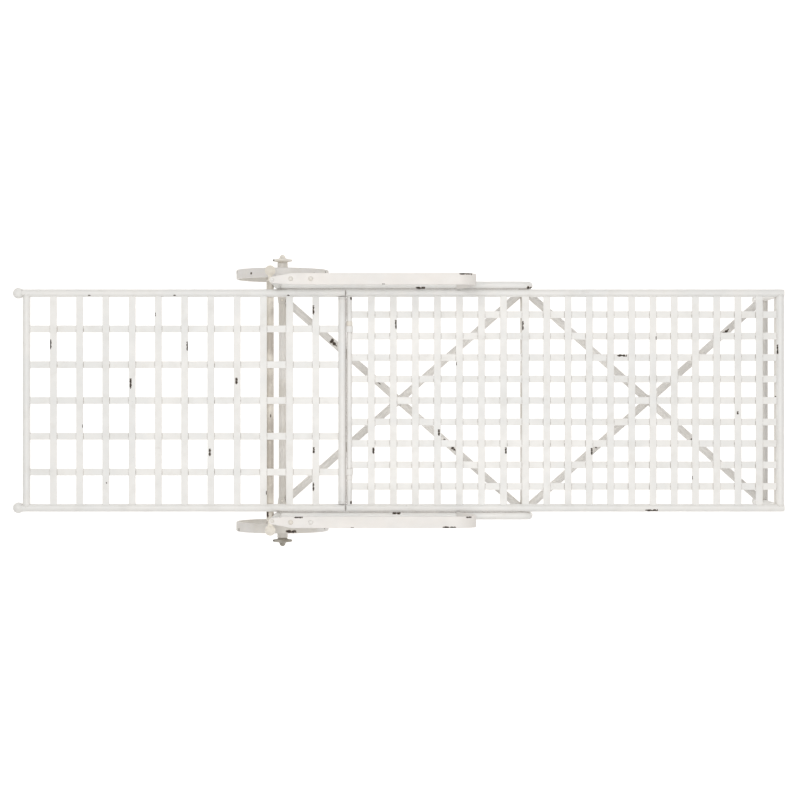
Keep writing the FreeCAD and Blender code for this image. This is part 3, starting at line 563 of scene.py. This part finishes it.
def straight(start, end, steps):
    """Points on a line, both ends included."""
    return [start.lerp(end, number / (steps - 1)) for number in range(steps)]


def hump(start, end, rise, steps):
    """Points from start to end that rise in half a wave between them."""
    points = straight(start, end, steps)
    return [point + Vector((0, 0, rise * math.sin(math.pi * number / (steps - 1))))
            for number, point in enumerate(points)]


def circle(centre, axis, radius, steps=RING_STEPS):
    """Points round a centre, square to an axis."""
    axis = axis.normalized()
    across = axis.orthogonal().normalized()
    up = axis.cross(across)
    points = []
    for number in range(steps):
        angle = 2 * math.pi * number / steps
        points.append(centre + (across * math.cos(angle) + up * math.sin(angle)) * radius)
    return points


# Welds

def slat_beads(mesh, cross, long, rear_x, front_x, reach):
    """Welds at the ends of the slats of one panel, above and below them."""
    end_y = RAIL_Y - RAIL_R * CROSS_SLAT_END
    for low, high in cross:
        for side in (-1, 1):
            for z in (low.z, high.z):
                start = Vector((low.x + BEAD, side * end_y, z))
                end = Vector((high.x - BEAD, side * end_y, z))
                grow_bead(mesh, straight(start, end, SLAT_STEPS), BEAD)
    for low, high in long:
        for x in (rear_x + reach, front_x - reach):
            for z in (low.z, high.z):
                start = Vector((x, low.y + BEAD, z))
                end = Vector((x, high.y - BEAD, z))
                grow_bead(mesh, straight(start, end, SLAT_STEPS), BEAD)


def slat_tacks(name, cross, long, body, seed):
    """Short tack welds in dark paint where the slats of one panel cross: painted shade at the crossings."""
    mesh = bmesh.new()
    draw = random.Random(seed)
    for low, high in cross:
        for under_low, under_high in long:
            for x in (low.x, high.x):
                length = (under_high.y - under_low.y) * draw.uniform(*TACK_LENGTHS)
                start_y = draw.uniform(under_low.y, under_high.y - length)
                start = Vector((x, start_y, low.z + TACK_RISE))
                end = start + Vector((0, length, 0))
                grow_bead(mesh, straight(start, end, TACK_STEPS), TACK * draw.uniform(*TACK_SIZES))
    make_piece(name, mesh, body, PAINTS["seam_shade_paint"])


def ring_beads(mesh, node, inset, radius):
    """Weld rings at both ends of a cross tube, a little in from its tips."""
    low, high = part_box(node)
    centre = (low + high) / 2
    for y in (low.y + inset, high.y - inset):
        place = Vector((centre.x, y, centre.z))
        grow_bead(mesh, circle(place, Vector((0, 1, 0)), radius), TUBE_BEAD, closed=True)


def seat_welds():
    """All welds of the seat and its underframe."""
    mesh = bmesh.new()
    slat_beads(mesh, SEAT_CROSS, SEAT_LONG, HINGE_X, FRONT_X, HINGE_R * LONG_SLAT_END)
    for node in ("seat_front_bar", "front_apron_bar", "front_stretcher", "mid_stretcher"):
        ring_beads(mesh, node, RAIL_R * SADDLE_END, RAIL_R)
    ring_beads(mesh, "hinge_bar", HINGE_INSET, HINGE_R)
    brace_welds(mesh)
    post_welds(mesh)
    make_piece("seat_welds", mesh, "frame", PAINTS["frame_paint"])


def brace_ends():
    """Rear and front end of each low brace: the two of the rear cross, then the two of the front one."""
    ends = []
    for rear_x, rear_y, front_x, front_y in (
        (POST_X, RAIL_Y, MID_X, SIDE_Y),
        (MID_X, SIDE_Y, FRONT_X, RAIL_Y),
    ):
        for side in (-1, 1):
            rear = Vector((rear_x, side * rear_y, LOW_Z))
            front = Vector((front_x, -side * front_y, LOW_Z))
            ends.append((rear, front))
    return ends


def brace_welds(mesh):
    """Weld rings on the braces where they meet the bars and where they cross each other."""
    ends = brace_ends()
    for rear, front in ends:
        along = (front - rear).normalized()
        reach = RAIL_R / along.x * BRACE_END
        for place in (rear + along * reach, front - along * reach):
            grow_bead(mesh, circle(place, along, RAIL_R), TUBE_BEAD, closed=True)
    for whole, halves in (ends[:2], ends[2:]):
        share = abs(whole[0].y) / (abs(whole[0].y) + abs(whole[1].y))
        crossing = whole[0].lerp(whole[1], share)
        along = (halves[1] - halves[0]).normalized()
        for way in (-1, 1):
            place = crossing + along * way * RAIL_R * BRACE_CROSSING
            grow_bead(mesh, circle(place, along, RAIL_R), TUBE_BEAD, closed=True)


def post_welds(mesh):
    """Welds where the side tubes meet the rear posts, and on the side tubes at the arms' feet."""
    for hand in ("right", "left"):
        post = middle("arm_post_" + hand)
        tube = middle("side_tube_" + hand)
        joint = Vector((post.x + RAIL_R, tube.y, RAIL_Z))
        grow_bead(mesh, circle(joint, Vector((1, 0, 0)), RAIL_R * POST_END), TUBE_BEAD, closed=True)
        foot_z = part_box("arm_" + hand)[0].z + ARM_FOOT_RISE
        foot = [v.co for v in NODES["arm_" + hand].data.vertices if v.co.z < foot_z + ARM_FOOT_DEPTH]
        foot_x = sum(point.x for point in foot) / len(foot)
        for x in (foot_x - ARM_FOOT_HALF, foot_x + ARM_FOOT_HALF):
            start = Vector((x, tube.y - RAIL_R * FOOT_WIDTH, foot_z))
            end = Vector((x, tube.y + RAIL_R * FOOT_WIDTH, foot_z))
            grow_bead(mesh, hump(start, end, ARM_FOOT_HUMP, FOOT_STEPS), TUBE_BEAD)


def back_welds():
    """All welds of the back, with the rings under its finials."""
    mesh = bmesh.new()
    slat_beads(mesh, BACK_CROSS, BACK_LONG, HEAD_X, FOOT_X, RAIL_R * LONG_SLAT_END)
    ring_beads(mesh, "back_head_bar", RAIL_R * SADDLE_END, HEAD_R)
    ring_beads(mesh, "back_foot_bar", RAIL_R * SADDLE_END, RAIL_R)
    rail_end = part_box("back_rail_left")[0].x
    for side in (-1, 1):
        place = Vector((rail_end, side * RAIL_Y, RAIL_Z))
        grow_bead(mesh, circle(place, Vector((1, 0, 0)), RAIL_R * FINIAL_RING), FINIAL_BEAD, closed=True)
    make_piece("back_welds", mesh, "back", PAINTS["back_paint"])


def wheel_welds():
    """Weld rings at the spokes' ends, at the rims and at the hubs."""
    for hand in ("left", "right"):
        mesh = bmesh.new()
        rim_low, rim_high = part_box("wheel_rim_" + hand)
        centre = (rim_low + rim_high) / 2
        rim_inside = (rim_high.z - rim_low.z) / 2 - RIM_THICK
        for number in range(SPOKES):
            angle = 2 * math.pi * (number + 0.5) / SPOKES
            out = Vector((math.cos(angle), 0, math.sin(angle)))
            for radius in (rim_inside - SPOKE_WELD_OUT, BELLY_R + SPOKE_WELD_OUT):
                ring = circle(centre + out * radius, out, SPOKE_RING_R, SPOKE_STEPS)
                grow_bead(mesh, ring, SPOKE_BEAD, closed=True)
        make_piece("wheel_welds_" + hand, mesh, "wheel_" + hand, PAINTS["wheel_paint"])


# Painted shade in the hinge seam

def seam_shade_strip(name, body, x, size):
    """Dark strip along one bar, between the rails, sleeves and collars: painted shade in the seam."""
    fittings = bars("hinge_sleeves", 1, FITTINGS_APART) + bars("hinge_collars", 1, FITTINGS_APART)
    edge = RAIL_Y - RAIL_R - RAIL_GAP
    stops = [(low.y - SHADE_STRIP_GAP, high.y + SHADE_STRIP_GAP) for low, high in fittings]
    stops = sorted([(-edge, -edge), (edge, edge)] + stops)
    mesh = bmesh.new()
    for (_, start), (end, _) in zip(stops, stops[1:]):
        if end - start > SHADE_STRIP_SHORTEST:
            steps = int((end - start) / SHADE_STRIP_STEP)
            path = straight(Vector((x, start, RAIL_Z)), Vector((x, end, RAIL_Z)), steps)
            grow_bead(mesh, path, size, sides=SHADE_STRIP_SIDES)
    make_piece(name, mesh, body, PAINTS["seam_shade_paint"])


def hinge_seam_shade():
    """Dark strips in the seam between the hinge bar and the back's foot bar: painted shade."""
    hinge_edge = HINGE_X - HINGE_R - HINGE_SHADE_STRIP_OUT
    seam_shade_strip("hinge_bar_seam_shade", "frame", hinge_edge, HINGE_SHADE_STRIP)
    seam_shade_strip("foot_bar_seam_shade", "back", FOOT_X + RAIL_R, FOOT_SHADE_STRIP)


# Chips

class Chips:
    """Ragged patches of bare steel laid on CAD surfaces, gathered in one piece for each body."""

    def __init__(self, body, slot):
        self.body = body
        self.slot = slot
        self.mesh = bmesh.new()
        self.rim = self.mesh.verts.layers.float.new("rim")
        self.count = 0
        self.trees = {}

    def tree(self, node):
        """A node's surface for dropping points on, made once."""
        if node not in self.trees:
            data = NODES[node].data
            points = [v.co for v in data.vertices]
            faces = [tuple(face.vertices) for face in data.polygons]
            self.trees[node] = BVHTree.FromPolygons(points, faces)
        return self.trees[node]

    def add(self, node, centre, length, width, turn=0.0, down=(0, 0, -1)):
        """One chip, dropped along down onto a node; from above, its length is turned from X towards -Y."""
        down = Vector(down)
        side = Vector((0, 0, 1)) if abs(down.z) < 0.5 else Vector((0, 1, 0))
        across = side.cross(-down).normalized()
        up = down.cross(across)
        seed = Vector((self.count * 3.1, 7.3, len(node) * 1.7))     # far enough apart for unlike outlines
        self.count += 1
        grid = []
        for ring in range(CHIP_RINGS + 1):
            share = ring / CHIP_RINGS
            row = []
            for step in range(CHIP_STEPS if ring else 1):
                angle = 2 * math.pi * step / CHIP_STEPS
                outline = Vector((math.cos(angle), math.sin(angle), 0)) * RAGGED_SCALE
                ragged = 1 + RAGGED * noise.noise(seed + outline)
                a = share * ragged * length / 2 * math.cos(angle)
                b = share * ragged * width / 2 * math.sin(angle)
                x = a * math.cos(turn) - b * math.sin(turn)
                y = a * math.sin(turn) + b * math.cos(turn)
                row.append(self.drop(node, Vector(centre) + across * x + up * y, down, share))
            grid.append(row)
        self.fill(grid)

    def drop(self, node, place, down, share):
        """A vertex on the surface below a place, or None; share is 0 in the chip's middle, 1 at its rim."""
        hit, normal, _, _ = self.tree(node).ray_cast(place - down * DROP_FROM, down, DROP_REACH)
        if hit is None:
            return None
        vert = self.mesh.verts.new(hit + normal * CHIP_LIFT)
        vert[self.rim] = share
        return vert

    def run(self, node, centre, length, width, turn=0.0):
        """A large chip with smaller ones beyond it, in a row along the chip's longer side."""
        along = Vector((math.cos(turn), math.sin(turn), 0))
        if width > length:
            along = Vector((-math.sin(turn), math.cos(turn), 0))
        reach = max(length, width)
        for place, share in CHIP_ROW:
            chip = Vector(centre) + along * place * reach
            self.add(node, chip, *self.shrunk(length, width, share), turn)

    @staticmethod
    def shrunk(length, width, share):
        """The longer side cut to a share, the shorter side kept."""
        return (length * share, width) if length >= width else (length, width * share)

    def fill(self, grid):
        """Faces between neighbouring rings, left out where a point missed the surface."""
        for step in range(CHIP_STEPS):
            after = (step + 1) % CHIP_STEPS
            self.face(grid[0][0], grid[1][step], grid[1][after])
            for inner, outer in zip(grid[1:], grid[2:]):
                self.face(inner[step], outer[step], outer[after], inner[after])

    def face(self, *corners):
        """One face, unless it would hang over an edge of the surface."""
        if None in corners:
            return
        steep = max(a.co.z for a in corners) - min(a.co.z for a in corners)
        spread = max((a.co - b.co).length for a in corners for b in corners)
        if spread < WIDEST_FACE and steep < STEEPEST_FACE:
            self.mesh.faces.new(tuple(reversed(corners)))

    def done(self):
        """Turn the chips into one piece of closed flakes."""
        bare = [v for v in self.mesh.verts if not v.link_faces]
        bmesh.ops.delete(self.mesh, geom=bare, context="VERTS")
        piece = make_piece("chips_" + self.body, self.mesh, self.body, CHIPPED)
        shell = piece.modifiers.new("flake", "SOLIDIFY")
        shell.thickness = FLAKE
        shell.offset = -1


def slat_chips(chips, node, slats, marks):
    """Chips on cross slats. A mark is the slat's number from the head end, the share of the way from the
    left rail to the right one, the place over the slat from -1 to 1, and the millimetres along X and Y."""
    for number, share, edge, length, width in marks:
        low, high = slats[number - 1]
        x = (low.x + high.x) / 2 + edge * (high.x - low.x) / 2
        place = Vector((x, RAIL_Y - share * 2 * RAIL_Y, high.z))
        chips.run(node, place, length * MM, width * MM)


def back_chips():
    """Chips on the back's cross slats and its left rail."""
    chips = Chips("back", "back_paint")
    slat_chips(chips, "back_cross_slats", BACK_CROSS, (
        (1, 0.24, -0.85, 6, 23), (3, 0.884, 0.2, 3, 4), (4, 0.423, -0.45, 6, 25), (6, 0.25, 0.85, 6, 23),
        (7, 0.744, -0.3, 6, 19), (8, 0.411, -0.2, 7, 16), (11, 0.08, -0.75, 6, 22), (11, 0.733, -0.6, 6, 15),
        (11, 0.903, -0.8, 6, 20), (2, 0.62, 0.9, 3, 8), (5, 0.10, -0.9, 3, 9), (9, 0.93, 0.9, 3, 9),
    ))
    for share in (0.2, 0.47, 0.83):
        place = Vector((HEAD_X + share * (FOOT_X - HEAD_X), RAIL_Y - RAIL_R * 0.6, RAIL_Z))
        chips.add("back_rail_left", place, 7 * MM, 3 * MM)
    chips.done()


def frame_chips():
    """Chips on everything that stands still."""
    chips = Chips("frame", "frame_paint")
    slat_chips(chips, "seat_cross_slats", SEAT_CROSS, (
        (1, 0.735, 0.6, 6, 15), (2, 0.148, 0.75, 6, 22), (4, 0.651, 0.4, 6, 16), (7, 0.735, 0.7, 6, 16),
        (8, 0.155, -0.9, 7, 24), (11, 0.739, 0.7, 6, 17), (18, 0.558, -0.1, 5, 8), (5, 0.33, -0.9, 3, 8),
        (14, 0.21, 0.9, 3, 9), (16, 0.86, -0.9, 3, 8),
    ))
    low, high = SEAT_LONG[-3]
    place = Vector((low.x + 0.635 * (high.x - low.x), high.y - 4 * MM, high.z))
    chips.run("seat_long_slats", place, 24 * MM, 6 * MM)
    brace_chips(chips)
    arm_chips(chips)
    rail_chips(chips)
    side_tube_chips(chips)
    front_chips(chips)
    nut_chips(chips)
    chips.done()


def brace_chips(chips):
    """Chips on the braces: cross, share from the rear end, side of that end, size in millimetres."""
    marks = (
        ("rear_brace", 0.209, 1, 22), ("rear_brace", 0.68, -1, 20), ("rear_brace", 0.673, 1, 16),
        ("rear_brace", 0.707, 1, 14), ("front_brace", 0.833, -1, 22), ("front_brace", 0.703, 1, 18),
        ("rear_brace", 0.40, 1, 9), ("front_brace", 0.30, -1, 9),
    )
    ends = brace_ends()
    crosses = {"rear_brace": ends[:2], "front_brace": ends[2:]}
    for cross, share, side, size in marks:
        rear, front = next(pair for pair in crosses[cross] if pair[0].y * side > 0)
        node = cross + ("_long" if side < 0 else "_halves")
        chips.run(node, rear.lerp(front, share), size * MM, 0.5 * size * MM, -side * math.pi / 4)


def arm_chips(chips):
    """Chips along the arms' edges: hand, share along the arm, side of it, millimetres along X and Y."""
    marks = (
        ("left", 0.944, 1, 30, 6), ("left", 0.55, -1, 7, 2),
        ("right", 0.865, -1, 30, 6), ("right", 0.14, 1, 20, 6),
        ("right", 0.96, 1, 13, 7), ("right", 0.40, -1, 7, 2),
    )
    for hand, share, side, length, width in marks:
        low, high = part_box("arm_" + hand)
        y = (low.y + high.y) / 2 + side * ((high.y - low.y) / 2 - 1.4 * MM)
        place = Vector((low.x + share * (high.x - low.x), y, ARM_TOP))
        chips.run("arm_" + hand, place, length * MM, width * MM)


def rail_chips(chips):
    """Chips on the right rail and on both ends of the hinge bar."""
    rail = Vector((HINGE_X + 0.70 * (FRONT_X - HINGE_X), -RAIL_Y - RAIL_R * 0.6, RAIL_Z))
    chips.run("seat_rail_right", rail, 30 * MM, 6 * MM)
    for side in (1, -1):
        corner = Vector((HINGE_X + 5 * MM, side * (RAIL_Y - RAIL_R - 3 * MM), RAIL_Z))
        chips.add("hinge_bar", corner, 6 * MM, 11 * MM)


def side_tube_chips(chips):
    """Chips on the inner flanks of the side tubes: hand, sign of Y, place along X, length, width."""
    inside = SIDE_Y - 7 * MM
    for hand, side, x, length, width in (
        ("left", 1, MID_X, 15 * MM, 7 * MM),
        ("left", 1, 55 * MM, 22 * MM, 6 * MM),
        ("right", -1, -8 * MM, 20 * MM, 6 * MM),
    ):
        chips.run("side_tube_" + hand, Vector((x, side * inside, RAIL_Z)), length, width)


def front_chips(chips):
    """Chips on the rear edges of the two front bars."""
    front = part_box("seat_front_bar")[0]
    chips.run("seat_front_bar", Vector((front.x + 2 * MM, 131 * MM, RAIL_Z)), 4 * MM, 24 * MM)
    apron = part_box("front_apron_bar")[0]
    chips.add("front_apron_bar", Vector((apron.x + 3 * MM, 8 * MM, apron.z)), 5 * MM, 8 * MM)


def nut_chips(chips):
    """A chip on the brim of each hub nut, on the side towards the head end."""
    for hand in ("left", "right"):
        nut_low, nut_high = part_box("hub_nut_" + hand)
        tip = Vector((nut_low.x + 2 * MM, brim_y(hand), (nut_low.z + nut_high.z) / 2))
        chips.add("hub_nut_" + hand, tip, 7 * MM, 6 * MM)


def brim_y(hand):
    """Where the brim of a hub nut lies: the middle of the vertices at its top."""
    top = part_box("hub_nut_" + hand)[1].z
    points = [v.co.y for v in NODES["hub_nut_" + hand].data.vertices if v.co.z > top - 2 * MM]
    return sum(points) / len(points)


def wheel_chips():
    """Chips strewn round both rims, and one long scar near the top of the right one."""
    for hand, seed in (("left", 12), ("right", 10)):
        chips = Chips("wheel_" + hand, "wheel_paint")
        low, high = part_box("wheel_rim_" + hand)
        centre = (low + high) / 2
        radius = (high.z - low.z) / 2
        draw = random.Random(seed)
        for number in range(RIM_CHIPS):
            angle = 2 * math.pi * (number + draw.uniform(0.1, 0.9)) / RIM_CHIPS
            out = Vector((math.cos(angle), 0, math.sin(angle)))
            place = centre + out * radius
            place.y = draw.uniform(low.y + 3 * MM, high.y - 3 * MM)
            length = draw.uniform(*RIM_CHIP_LENGTHS)
            width = draw.uniform(*RIM_CHIP_WIDTHS)
            chips.add("wheel_rim_" + hand, place, length, width, down=-out)
        if hand == "right":
            lean = math.radians(RIM_SCAR_AT)
            place = centre + Vector((math.cos(lean), 0, math.sin(lean))) * radius
            place.y = low.y + 5 * MM
            chips.run("wheel_rim_right", place, 26 * MM, 9 * MM)
        chips.done()


def rest_bar_chips():
    """Chips on the top of the rest bar: a large one near its right end, a small one near its middle."""
    chips = Chips("rest_bar", "rest_bar_paint")
    low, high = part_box("rest_bar_tube")
    x = (low.x + high.x) / 2
    chips.add("rest_bar_tube", Vector((x - 6 * MM, low.y + 16 * MM, high.z)), 6 * MM, 19 * MM)
    chips.add("rest_bar_tube", Vector((x + 2 * MM, -40 * MM, high.z)), 3 * MM, 9 * MM)
    chips.done()


# Surroundings

def camera():
    """Straight above the seat, looking down, with the head end on the left."""
    data = bpy.data.cameras.new("camera")
    data.lens = LENS
    data.sensor_width = SENSOR
    data.clip_end = VIEW_END
    piece = bpy.data.objects.new("camera", data)
    piece.location = (CAMERA_X, CAMERA_Y, RAIL_Z + CAMERA_ABOVE_SEAT)
    bpy.context.scene.collection.objects.link(piece)
    bpy.context.scene.camera = piece


def area_light(name, x, y, power):
    """A broad round lamp, turned towards the origin; it hangs higher than the camera, out of the picture."""
    place = Vector((x, y, LAMP_Z))
    data = bpy.data.lights.new(name, "AREA")
    data.shape = "DISK"
    data.size = LAMP_WIDTH
    data.energy = power
    lamp = bpy.data.objects.new(name, data)
    lamp.location = place
    lamp.rotation_euler = (-place).to_track_quat("-Z", "Y").to_euler()
    bpy.context.scene.collection.objects.link(lamp)


def sky():
    """An even soft sky, with a white backdrop behind the object where no floor is seen."""
    world = bpy.data.worlds.new("studio")
    world.use_nodes = True
    tree = world.node_tree
    background = tree.nodes["Background"]
    background.inputs["Color"].default_value = (*WARM, 1)
    seen = tree.nodes.new("ShaderNodeLightPath")
    strength = tree.nodes.new("ShaderNodeMapRange")
    strength.inputs["To Min"].default_value = SKY
    strength.inputs["To Max"].default_value = BACKDROP
    tree.links.new(seen.outputs["Is Camera Ray"], strength.inputs["Value"])
    tree.links.new(strength.outputs["Result"], background.inputs["Strength"])
    bpy.context.scene.world = world


def studio():
    """Pale glowing floor, soft sky and two broad lamps high above."""
    mesh = bmesh.new()
    bmesh.ops.create_grid(mesh, x_segments=2, y_segments=2, size=FLOOR_HALF)
    data = bpy.data.meshes.new("floor")
    mesh.to_mesh(data)
    mesh.free()
    data.materials.append(floor_paint())
    floor = bpy.data.objects.new("floor", data)
    floor.location.z = -FLOOR_BELOW
    bpy.context.scene.collection.objects.link(floor)
    sky()
    area_light("key", -0.6, 1.1, KEY_POWER)
    area_light("fill", 0.8, -1.0, FILL_POWER)
    bpy.context.scene.view_settings.view_transform = "Standard"


paint_cad()
seat_welds()
back_welds()
wheel_welds()
slat_tacks("seat_tacks", SEAT_CROSS, SEAT_LONG, "frame", 7)
slat_tacks("back_tacks", BACK_CROSS, BACK_LONG, "back", 8)
hinge_seam_shade()
back_chips()
frame_chips()
wheel_chips()
rest_bar_chips()
studio()
camera()
